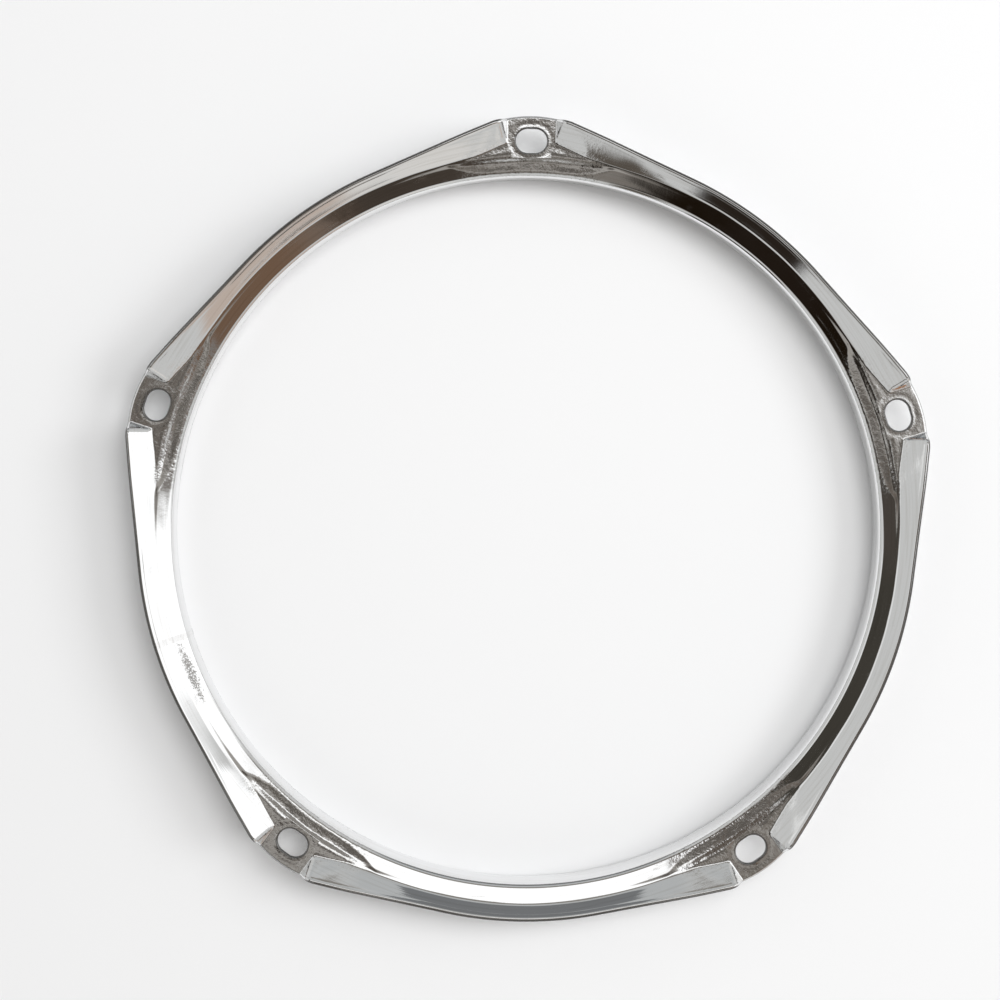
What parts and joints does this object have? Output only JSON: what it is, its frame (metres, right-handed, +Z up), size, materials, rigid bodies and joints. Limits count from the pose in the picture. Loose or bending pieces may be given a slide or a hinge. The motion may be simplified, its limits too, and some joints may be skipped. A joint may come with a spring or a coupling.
{
  "type": "drum hoop",
  "caption": "Pressed triple-flanged drum hoop with a flared playing rim, a seat for the head and slotted ears for tension rods.",
  "frame": {"origin": "on the ring's axis, in the plane of the playing rim's face that the hoop lies on", "axes": "+Z up along the ring's axis, from the playing rim towards the skirt and the drum's shell; +Y through the middle of one ear"},
  "size_m": [0.2956, 0.2962, 0.0232],
  "materials": {
    "bright_chrome": "bright chrome plate over pressed steel, slightly grainy, with fine scratches and a trace of rust in one crease",
    "dressed_weld": "chrome plate over a dressed butt weld, duller and more scratched than the strip"
  },
  "bodies": {
    "root": {"pressed_hoop": "bright_chrome", "butt_weld": "dressed_weld"}
  },
  "joints": []
}
